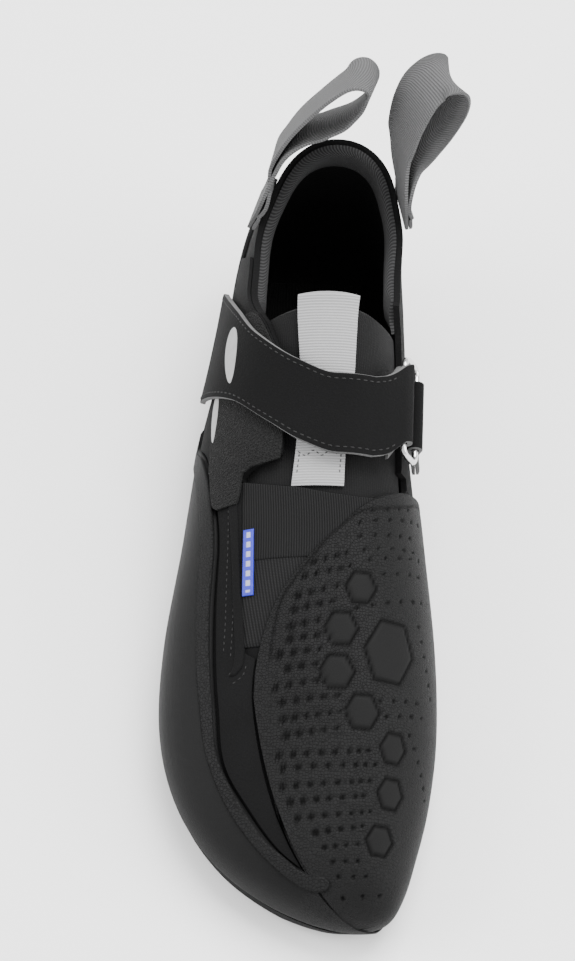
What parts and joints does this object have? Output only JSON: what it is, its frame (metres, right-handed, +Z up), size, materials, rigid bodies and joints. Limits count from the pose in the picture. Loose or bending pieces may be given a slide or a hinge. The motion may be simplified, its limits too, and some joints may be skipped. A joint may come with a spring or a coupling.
{
  "type": "climbing shoe",
  "caption": "Low rock climbing shoe for the right foot with lasted rubber, a moulded toe patch, one closing strap with a ring, and two webbing pull loops.",
  "frame": {"origin": "on the floor, under the middle of the heel's flat spot", "axes": "+Z up, the toe towards -Y, the heel towards +Y, and the inner (medial) side towards +X"},
  "size_m": [0.0918, 0.26, 0.1288],
  "materials": {
    "suede": "black microsuede, matt",
    "rubber": "black climbing rubber, matt",
    "moulded_rubber": "black moulded rubber with a low relief, satin",
    "insole_board": "black board with a fabric face, matt",
    "pile": "black fuzzy loop pile",
    "tongue_fabric": "black stretch fabric, matt",
    "light_webbing": "light grey ribbed webbing",
    "blue_label": "woven blue label, plain",
    "lining": "dark grey twill lining",
    "strap_suede": "black microsuede with cut edges, matt",
    "steel": "nickel plated wire",
    "grey_webbing": "dark grey ribbed webbing"
  },
  "bodies": {
    "root": {"upper": "suede", "lateral_panel": "suede", "insole": "insole_board", "rand": "rubber", "heel_cup": "rubber", "outsole": "rubber", "heel_sole": "rubber", "toe_patch": "moulded_rubber", "pile_patch": "pile", "tongue": "tongue_fabric", "tongue_tab": "light_webbing", "label": "blue_label", "collar_padding": "lining", "strap": "strap_suede", "ring_tab": "strap_suede", "strap_ring": "steel", "pull_loop_lateral": "grey_webbing", "pull_loop_medial": "grey_webbing"}
  },
  "joints": []
}
